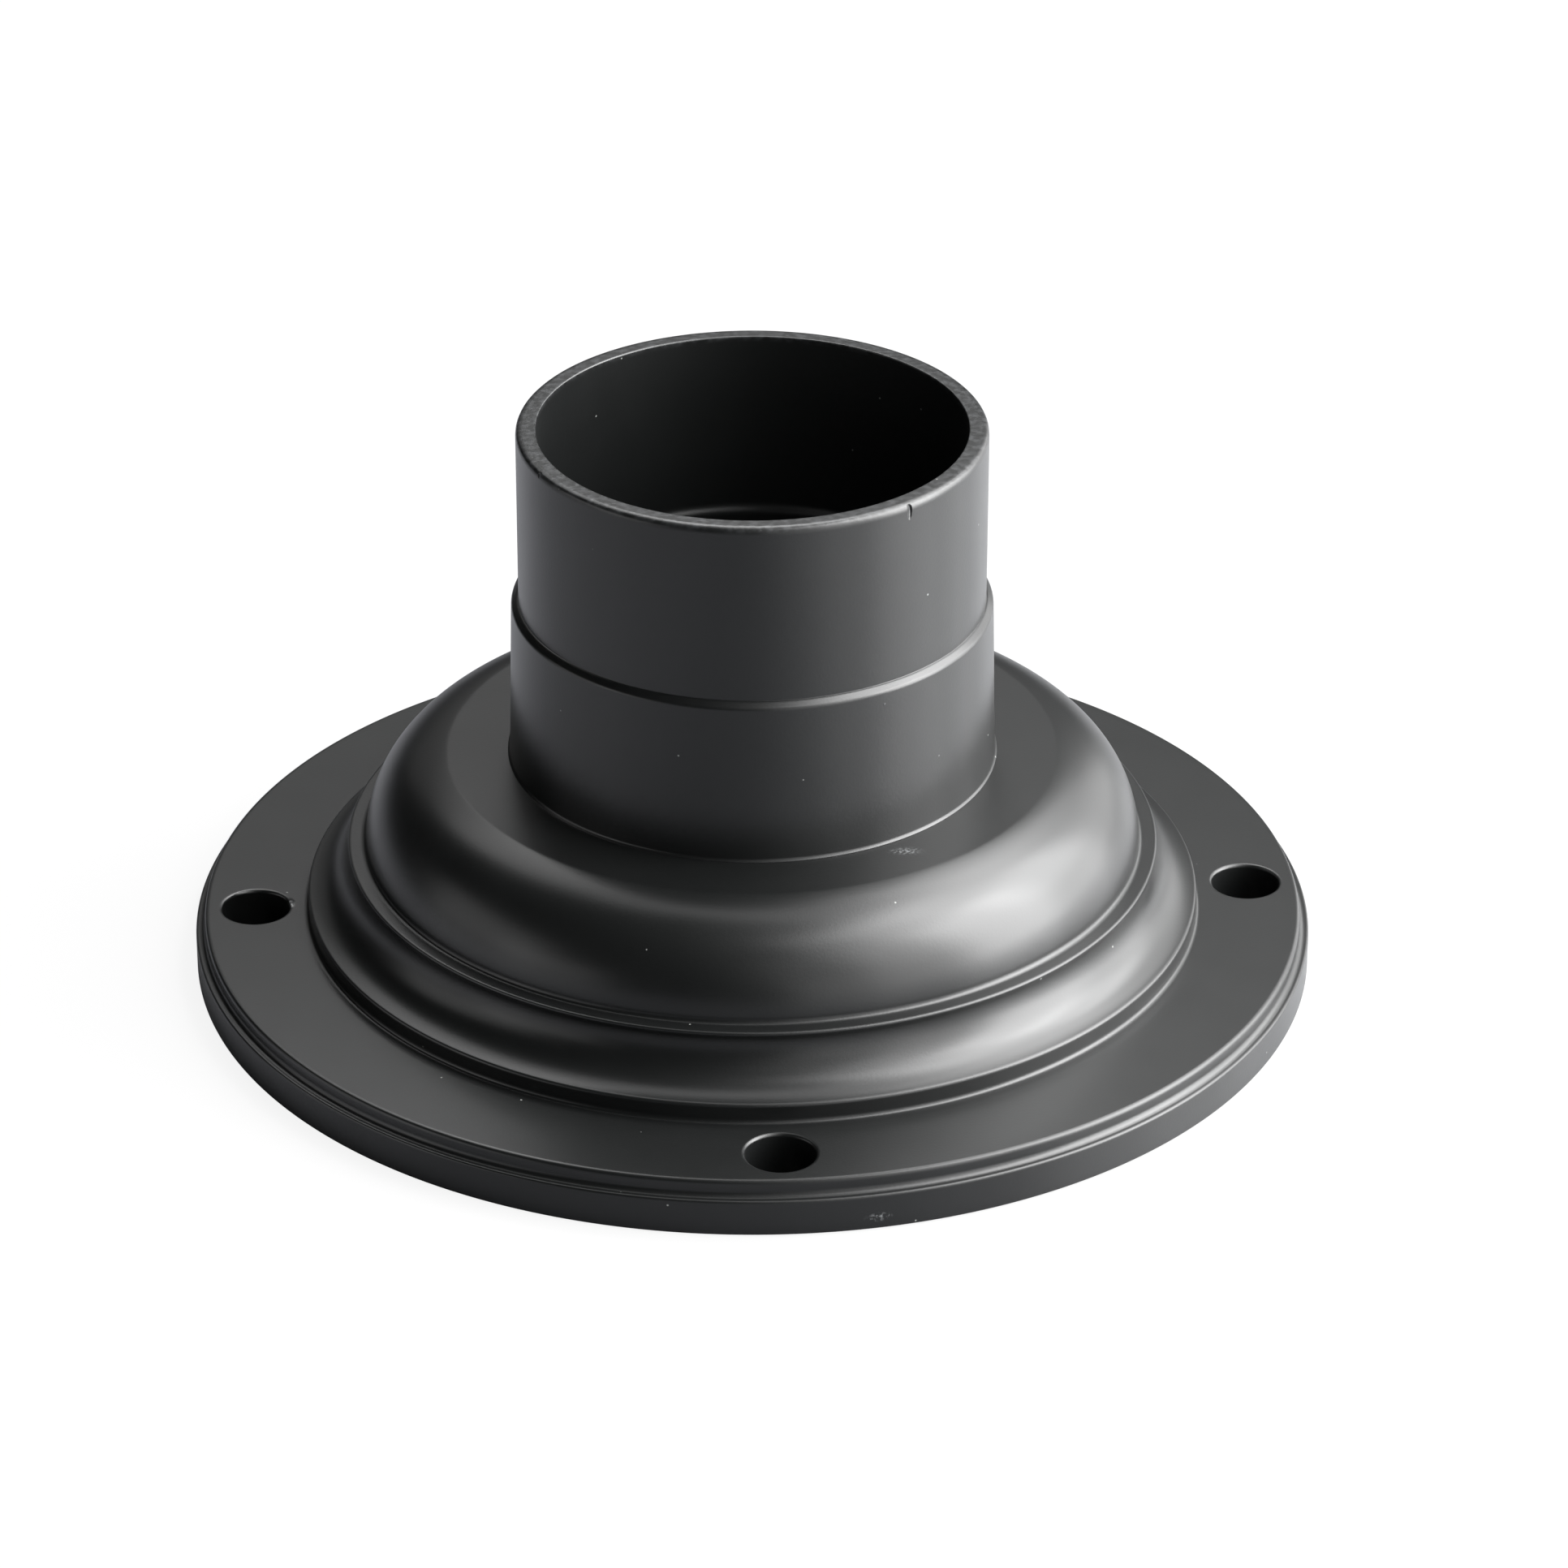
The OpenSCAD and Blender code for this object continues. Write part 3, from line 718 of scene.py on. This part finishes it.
def lugShape(t):
    # one internal lug at the tube's foot, flat-sided towards the wall and round towards the middle
    angles = [math.pi / 2 + math.pi * i / t["lugSteps"] for i in range(t["lugSteps"] + 1)]
    outline = [(t["lugR"] * math.cos(a), t["lugR"] * math.sin(a)) for a in angles]
    wallX = t["lowBoreR"] + t["lugInWall"] - t["lugPitch"]
    outline += [(wallX, -t["lugR"]), (wallX, t["lugR"])]
    levels = [(0.0, 1.0)] + [(t["lugH"] - down, size) for down, size in t["lugTop"]]
    return stacked("lug", [[(x * size if x < 0 else x, y * size, z) for x, y in outline] for z, size in levels])


def makeTube(t):
    piece = turned("fitterTubeCasting", tubeOutline(t, tubeSoft), t["turns"], coat)
    values = {"Count": t["lugs"], "Circle Radius": t["lugPitch"] * mm, "First Angle": math.pi / t["lugs"],
              "Height": (t["footZ"] + t["sunk"]) * mm, "Finish": coat}
    lugs = grown(lugShape(t), circleTree, values, "tubeLugs")
    cut(piece, [lugs], "UNION")
    taps = []
    for k in range(t["lugs"]):
        a = math.pi / t["lugs"] + fullTurn * k / t["lugs"]
        x, y = t["lugPitch"] * math.cos(a), t["lugPitch"] * math.sin(a)
        taps.append(rod(t["tapR"], t["footZ"] - t["tapStart"], t["footZ"] + t["tapDepth"], x, y, name="tap"))
    cut(piece, taps, "DIFFERENCE")
    finishPiece(piece, coat)
    return piece


fitterTube = makeTube(tube)
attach(fitterTube, "root")
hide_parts("fitter_tube")
print("fitter tube:", len(fitterTube.data.polygons), "faces")


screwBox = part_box("tube_screw_1")
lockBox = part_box("tube_lock_washer_1")
screw = {
    "headZ": screwBox[0][2] / mm, "seatZ": lockBox[0][2] / mm, "tipZ": screwBox[1][2] / mm,
    "headR": 4.75, "shankR": 2.5, "pitch": 0.8, "threadDepth": 0.42,
    "recessSpan": 4.8, "recessWide": 1.2, "recessDeep": 1.6,
    "crownH": 1.35, "crownSteps": 8, "headEdge": 0.2, "headSides": 40, "recessTaper": 0.62, "overlap": 0.1,
    "count": 4, "circleR": 29.5, "sides": 24, "stepsPerPitch": 6,
}
lockWasher = {"outerR": 4.5, "boreR": 2.65, "thick": 1.3, "split": 0.9, "slant": 0.35, "soft": 0.15, "steps": 40}
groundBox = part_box("ground_screw")
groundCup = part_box("ground_cup_washer")
groundScrew = {
    "x": (groundBox[0][0] + groundBox[1][0]) / 2 / mm, "lowZ": groundBox[0][2] / mm,
    "flangeZ": 23.0, "seatZ": 24.0, "tipZ": groundBox[1][2] / mm,
    "flangeR": 4.2, "hexAcross": 7.0, "shankR": 2.0, "pitch": 0.7, "threadDepth": 0.36,
    "slotWide": 1.2, "slotDeep": 1.6, "sides": 24, "stepsPerPitch": 6,
    "hexProud": 0.2, "faceChamfer": 0.15, "coneOut": 0.4, "coneH": 0.75, "flangeSides": 48, "overlap": 0.1,
    # each corner of the washer head: how far in from its edge, and how far above its underside
    "flangeUnder": ((0.45, 0.0), (0.1, 0.3), (0.0, 0.6)), "flangeOver": 0.1,
}
threadForm = {"neck": 0.3, "sharpness": 1.3, "tipDepth": 0.9}


def threadedShank(c, low, high, name):
    # a closed shank with a helical thread, a plain neck under the head and a chamfered tip, in mm
    form = threadForm
    radius, pitch, depth, sides = c["shankR"], c["pitch"], c["threadDepth"], c["sides"]
    rise = pitch / c["stepsPerPitch"]
    count = int((high - low) / rise)
    rings = []
    for k in range(count + 1):
        z = low + (high - low) * k / count
        neck = min(1.0, max(0.0, (z - low - form["neck"]) / pitch))
        taper = min(1.0, (high - z) / pitch)
        ring = []
        for i in range(sides):
            phase = (z / pitch - i / sides) % 1.0
            groove = abs(phase * 2 - 1) ** form["sharpness"]
            reach = radius - depth * (1 - groove) * neck - depth * form["tipDepth"] * (1 - taper)
            a = fullTurn * i / sides
            ring.append((reach * math.cos(a), reach * math.sin(a), z))
        rings.append(ring)
    return stacked(name, rings)


def turnedSolid(outline, sides, name):
    # a solid of revolution from an outline that starts and ends on the axis, in mm
    verts, faces = [(0, 0, outline[0][1] * mm)], []
    inner = outline[1:-1]
    angles = [fullTurn * i / sides for i in range(sides)]
    for r, z in inner:
        verts += [(r * math.cos(a) * mm, r * math.sin(a) * mm, z * mm) for a in angles]
    verts.append((0, 0, outline[-1][1] * mm))
    last = len(verts) - 1
    for i in range(sides):
        j = (i + 1) % sides
        faces.append((0, 1 + j, 1 + i))
        for k in range(len(inner) - 1):
            low, high = 1 + k * sides, 1 + (k + 1) * sides
            faces.append((low + i, low + j, high + j, high + i))
        top = 1 + (len(inner) - 1) * sides
        faces.append((top + i, top + j, last))
    return newObject(name, meshFrom(name, verts, faces))


def screwShape(c):
    # pan head with a cross recess; its seat is at height 0, shank upwards
    tall, headR, edge = c["seatZ"] - c["headZ"], c["headR"], c["headEdge"]
    angles = [math.pi / 2 * k / c["crownSteps"] for k in range(1, c["crownSteps"] + 1)]
    outline = [(0, -tall)] + [(headR * math.sin(t), -tall + c["crownH"] * (1 - math.cos(t))) for t in angles]
    outline += [(headR, -edge), (headR - edge, 0), (0, 0)]
    head = turnedSolid(outline, c["headSides"], "panHead")
    arms = []
    for turn in (0, math.pi / 2):
        arm = block((c["recessSpan"], c["recessWide"], 2 * c["recessDeep"]), (0, 0, -tall), turn, "recess")
        for v in arm.data.vertices:
            if v.co.z > -tall * mm:
                v.co.x *= c["recessTaper"]
                v.co.y *= c["recessTaper"]
        arms.append(arm)
    cut(head, arms, "DIFFERENCE")
    shank = threadedShank(c, -c["overlap"], c["tipZ"] - c["seatZ"], "shank")
    cut(head, [shank], "UNION")
    return head


def lockWasherShape(c):
    # split ring with slanted ends, corners just broken
    half = math.asin(c["split"] / 2 / c["outerR"])
    inner, outer, top, soft = c["boreR"], c["outerR"], c["thick"], c["soft"]
    section = [(inner + soft, 0), (outer - soft, 0), (outer, soft), (outer, top - soft), (outer - soft, top),
               (inner + soft, top), (inner, top - soft), (inner, soft)]
    rings = []
    for k in range(c["steps"] + 1):
        a = half + (fullTurn - 2 * half) * k / c["steps"]
        ring = []
        for r, z in section:
            lean = c["slant"] * (z / top - 0.5) / outer
            ring.append((r * math.cos(a + lean), r * math.sin(a + lean), z))
        rings.append(ring)
    return stacked("lockWasher", rings)


def setOnCircle(shape, c, height, finish, name):
    values = {"Count": c["count"], "Circle Radius": c["circleR"] * mm, "First Angle": math.pi / c["count"],
              "Height": height * mm, "Finish": finish}
    piece = grown(shape, circleTree, values, name)
    outward(piece)
    finishPiece(piece, finish, 30)
    return piece


panScrews = setOnCircle(screwShape(screw), screw, screw["seatZ"], zinc, "panHeadScrews")
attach(panScrews, "root")
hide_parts("tube_screw_1", "tube_screw_2", "tube_screw_3", "tube_screw_4")

lockWashers = setOnCircle(lockWasherShape(lockWasher), screw, screw["seatZ"], zinc, "splitLockWashers")
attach(lockWashers, "root")
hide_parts("tube_lock_washer_1", "tube_lock_washer_2", "tube_lock_washer_3", "tube_lock_washer_4")


def makeGroundScrew(c):
    # hex washer head with a driver slot; the hex's corners are chamfered as forged
    low, under, seat, flat = c["lowZ"], c["flangeZ"], c["seatZ"], c["hexAcross"] / 2
    hexR = flat / math.cos(math.pi / 6)
    hexTop = under + c["hexProud"]
    hexHead = turnedSolid([(0, low), (hexR - 0.01, low), (hexR, hexTop), (0, hexTop)], 6, "hexHead")
    wide = hexR + c["coneOut"]
    coneOutline = [(0, low), (flat - c["faceChamfer"], low), (wide, low + c["coneH"]), (wide, seat), (0, seat)]
    cut(hexHead, [turnedSolid(coneOutline, c["flangeSides"], "chamfer")], "INTERSECT")
    flangeR, over = c["flangeR"], c["flangeOver"]
    flangeOutline = [(0, under)] + [(flangeR - inward, under + up) for inward, up in c["flangeUnder"]]
    flangeOutline += [(flangeR, seat - over), (flangeR - over, seat), (0, seat)]
    cut(hexHead, [turnedSolid(flangeOutline, c["flangeSides"], "headFlange")], "UNION")
    slot = block((4 * flat, c["slotWide"], 2 * c["slotDeep"]), (0, 0, low), 0, "driverSlot")
    cut(hexHead, [slot], "DIFFERENCE")
    shank = threadedShank(c, seat - c["overlap"], c["tipZ"], "groundShank")
    cut(hexHead, [shank], "UNION")
    hexHead.name = "groundScrewHexHead"
    hexHead.data.transform(Matrix.Translation((c["x"] * mm, 0, 0)))
    outward(hexHead)
    finishPiece(hexHead, green, 30)
    return hexHead


groundPiece = makeGroundScrew(groundScrew)
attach(groundPiece, "root")
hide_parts("ground_screw")

cup = {
    "outerR": 4.5, "boreR": 2.15, "lowZ": groundCup[0][2] / mm, "topZ": groundCup[1][2] / mm,
    "footIn": 0.7, "rimH": 0.35, "lipIn": 0.45, "wall": 0.45, "innerDown": 0.4, "turns": 48,
    "footSoft": 0.3, "outerSoft": 0.12, "lipSoft": 0.1, "innerSoft": 0.2,
}
cupOutline = softOutline([
    (cup["boreR"], cup["lowZ"], cup["outerSoft"]), (cup["outerR"] - cup["footIn"], cup["lowZ"], cup["footSoft"]),
    (cup["outerR"], cup["topZ"] - cup["rimH"], cup["outerSoft"]), (cup["outerR"], cup["topZ"], cup["outerSoft"]),
    (cup["outerR"] - cup["lipIn"], cup["topZ"], cup["lipSoft"]),
    (cup["outerR"] - cup["lipIn"] - cup["wall"], cup["topZ"] - cup["wall"], cup["innerSoft"]),
    (cup["boreR"], cup["topZ"] - cup["innerDown"], cup["lipSoft"])], 3, 0.02)
cupWasher = turned("groundCupWasher", cupOutline, cup["turns"], zinc)
cupWasher.data.transform(Matrix.Translation((groundScrew["x"] * mm, 0, 0)))
finishPiece(cupWasher, zinc)
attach(cupWasher, "root")
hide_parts("ground_cup_washer")

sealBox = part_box("tube_seal")
sealRing = {
    "boreR": 34.2, "outerR": sealBox[1][0] / mm, "lowZ": sealBox[0][2] / mm, "topZ": sealBox[1][2] / mm,
    "soft": 0.3, "turns": 180,
}
sealOutline = softOutline([
    (sealRing["boreR"], sealRing["lowZ"], sealRing["soft"]),
    (sealRing["outerR"], sealRing["lowZ"], sealRing["soft"]),
    (sealRing["outerR"], sealRing["topZ"], sealRing["soft"]),
    (sealRing["boreR"], sealRing["topZ"], sealRing["soft"])], 4, 0.05)
ringSeal = turned("ringSeal", sealOutline, sealRing["turns"], rubber)
finishPiece(ringSeal, rubber)
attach(ringSeal, "root")
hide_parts("tube_seal")

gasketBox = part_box("base_gasket")
foamRing = {
    "boreR": 70.6, "outerR": gasketBox[1][0] / mm, "topZ": gasketBox[1][2] / mm,
    "footSoft": 0.35, "topSoft": 0.1, "turns": 240,
}
foamOutline = softOutline([
    (foamRing["boreR"], 0, foamRing["footSoft"]), (foamRing["outerR"], 0, foamRing["footSoft"]),
    (foamRing["outerR"], foamRing["topZ"], foamRing["topSoft"]),
    (foamRing["boreR"], foamRing["topZ"], foamRing["topSoft"])], 4, 0.04)
foamGasket = turned("foamGasket", foamOutline, foamRing["turns"], foam)
finishPiece(foamGasket, foam)
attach(foamGasket, "root")
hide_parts("base_gasket")
smallPieces = (panScrews, lockWashers, groundPiece, cupWasher, ringSeal, foamGasket)
print("fasteners and seals:", sum(len(p.data.polygons) for p in smallPieces), "faces")


view = {
    "aimZ": 29.7, "distance": 1058.0, "elevation": 28.17, "azimuth": -3.05,
    "lens": 146.84, "sensor": 36.0, "shiftX": 0.0202, "clipStart": 0.01,
}
cameraData = bpy.data.cameras.new("studioCamera")
cameraData.lens = view["lens"]
cameraData.sensor_width = view["sensor"]
cameraData.shift_x = view["shiftX"]
cameraData.clip_start = view["clipStart"]
camera = newObject("studioCamera", cameraData)
lift, swing = math.radians(view["elevation"]), math.radians(view["azimuth"])
aim = Vector((0, 0, view["aimZ"] * mm))
away = Vector((math.cos(lift) * math.sin(swing), -math.cos(lift) * math.cos(swing), math.sin(lift)))
camera.location = aim + away * view["distance"] * mm
camera.rotation_euler = (aim - camera.location).to_track_quat("-Z", "Y").to_euler()
scene.camera = camera


def lightPanel(name, azimuth, elevation, distance, spread, radiance, colour="#ffffff"):
    # a soft box that faces the object; azimuth 0 is behind the camera and grows to the right,
    # spread is the angle in degrees that it fills, across and up
    size = [2 * distance * math.tan(math.radians(s / 2)) for s in spread]
    data = bpy.data.lights.new(name, "AREA")
    data.shape = "RECTANGLE"
    data.size, data.size_y = size
    data.energy = radiance * math.pi * size[0] * size[1]
    data.color = linearColour(colour)[:3]
    lamp = newObject(name, data)
    turn, rise = math.radians(azimuth), math.radians(elevation)
    toward = Vector((math.cos(rise) * math.sin(turn), -math.cos(rise) * math.cos(turn), math.sin(rise)))
    spot = toward * distance
    lamp.location = spot + aim
    lamp.rotation_euler = (-spot).to_track_quat("-Z", "Y").to_euler()
    return lamp


# the studio: a wall of soft boxes on the right that fades out towards the front, the back and the top,
# a weaker one above and behind, and low cards on the left. Everything else is left dark.
# name: (azimuth, elevation, (spread across, spread up), radiance)
panelDistance = 1.4
panels = {
    "rightFrontLow": (48, 10, (30, 22), 4.0), "rightFrontMid": (48, 34, (30, 26), 5.0),
    "rightFrontTop": (48, 58, (36, 24), 2.7),
    "rightLow": (76, 10, (30, 22), 15.2), "rightMid": (76, 34, (30, 26), 15.4),
    "rightTop": (76, 58, (40, 24), 6.1),
    "rightBackLow": (104, 10, (30, 22), 8.3), "rightBackMid": (104, 34, (30, 26), 12.0),
    "rightBackTop": (104, 58, (40, 24), 6.2),
    "backRightLow": (132, 14, (30, 26), 3.4), "backRightMid": (132, 42, (34, 28), 3.6),
    "backTop": (160, 54, (40, 24), 5.2), "backLeftTop": (195, 50, (40, 26), 2.0),
    "overhead": (150, 80, (50, 20), 1.9), "backSweep": (170, 23, (80, 22), 0.25),
    "leftCard": (-85, 12, (40, 24), 1.0), "leftFrontCard": (-60, 6, (30, 14), 1.0),
    "frontRightCard": (22, 8, (26, 18), 1.6), "frontFill": (20, 30, (30, 30), 0.9),
}
for name, (azimuth, elevation, spread, radiance) in panels.items():
    lightPanel(name, azimuth, elevation, panelDistance, spread, radiance)


def tableFinish(name, look):
    # an acrylic shooting table: even colour with a faint haze, plus painted light towards its sides and a
    # painted shadow under the flange where its look asks for them
    finish = bpy.data.materials.new(name)
    finish.use_nodes = True
    tree = finish.node_tree
    shader = tree.nodes["Principled BSDF"]
    where = addNode(tree, "ShaderNodeTexCoord").outputs["Object"]
    haze = addNode(tree, "ShaderNodeTexNoise", {"Scale": 3.0}, {"Vector": where})
    tint = addNode(tree, "ShaderNodeMix", {"data_type": "RGBA"}, {0: haze.outputs[0]})
    tint.inputs[6].default_value = linearColour(look["colour"])
    tint.inputs[7].default_value = linearColour(look["hazeColour"])
    colour = tint.outputs[2]
    across = addNode(tree, "ShaderNodeSeparateXYZ", {}, {0: where}).outputs["X"]
    for side, start, end in look["sides"]:
        # painted light: the table is painted lighter towards one side, where the soft boxes light it, between
        # two distances in mm
        reach = {"From Min": start * mm, "From Max": end * mm}
        part = addNode(tree, "ShaderNodeMapRange", reach, {"Value": across})
        colour = addNode(tree, "ShaderNodeMix", {"data_type": "RGBA"}, {0: part.outputs[0], 6: colour})
        colour.inputs[7].default_value = linearColour(side)
        colour = colour.outputs[2]
    if look["shadeR"] > 0:
        # no light gets under the flange, so the table is dark there
        middle = addNode(tree, "ShaderNodeVectorMath", {"operation": "LENGTH"}, {0: where}).outputs["Value"]
        rim = {"From Min": (look["shadeR"] - look["shadeEdge"]) * mm, "From Max": look["shadeR"] * mm}
        under = addNode(tree, "ShaderNodeMapRange", rim, {"Value": middle})
        colour = addNode(tree, "ShaderNodeMix", {"data_type": "RGBA", 6: (0.001, 0.001, 0.001, 1)},
                         {0: under.outputs[0], 7: colour}).outputs[2]
    tree.links.new(colour, shader.inputs["Base Color"])
    shader.inputs["Roughness"].default_value = look["roughness"]
    shader.inputs["Specular IOR Level"].default_value = look["specular"]
    shader.inputs["Emission Color"].default_value = (1, 1, 1, 1)
    shader.inputs["Emission Strength"].default_value = look["glow"]
    return finish


def tableTop(name, height, finish):
    reach = tableReach
    corners = [(-reach, -reach, 0), (reach, -reach, 0), (reach, reach, 0), (-reach, reach, 0)]
    top = newObject(name, meshFrom(name, corners, [(0, 1, 2, 3)]))
    top.data.materials.append(finish)
    top.location.z = height
    return top


# The table that is seen is lit from below until it is nearly white.
# The one that the coating mirrors is glossy grey acrylic, hidden from the camera, with painted light that makes
# it lighter towards its sides and a painted shadow under the flange, so that the upright walls stay dark.
tableReach = 6.0
seenLook = {
    "colour": "#3f3f3f", "hazeColour": "#424242", "roughness": 0.8, "specular": 0.0, "glow": 0.88,
    "shadeR": 0, "sides": (),
}
# painted light: the sides tones paint the mirrored table lighter left and right, and shadeR paints a shadow on
# it under the flange
mirroredLook = {
    "colour": "#6e6f72", "hazeColour": "#717276", "roughness": 0.2, "specular": 0.5, "glow": 0.0,
    "shadeR": casting["flangeR"], "shadeEdge": 1.2, "sides": (("#87888c", -60, -125), ("#9b9c9e", 30, 105)),
}
seenTable = tableTop("shootingTable", -0.0002, tableFinish("backlitAcrylic", seenLook))
seenTable.visible_glossy = False
seenTable.visible_diffuse = False
seenTable.visible_shadow = False
mirroredTable = tableTop("mirroredTable", -0.0004, tableFinish("greyAcrylicWithPaintedLight", mirroredLook))
mirroredTable.visible_camera = False

world = bpy.data.worlds.new("studioRoom")
world.use_nodes = True
scene.world = world
world.node_tree.nodes["Background"].inputs["Color"].default_value = (1, 1, 1, 1)
world.node_tree.nodes["Background"].inputs["Strength"].default_value = 1.0
world.cycles_visibility.diffuse = False
world.cycles_visibility.glossy = False
print("camera and light set")
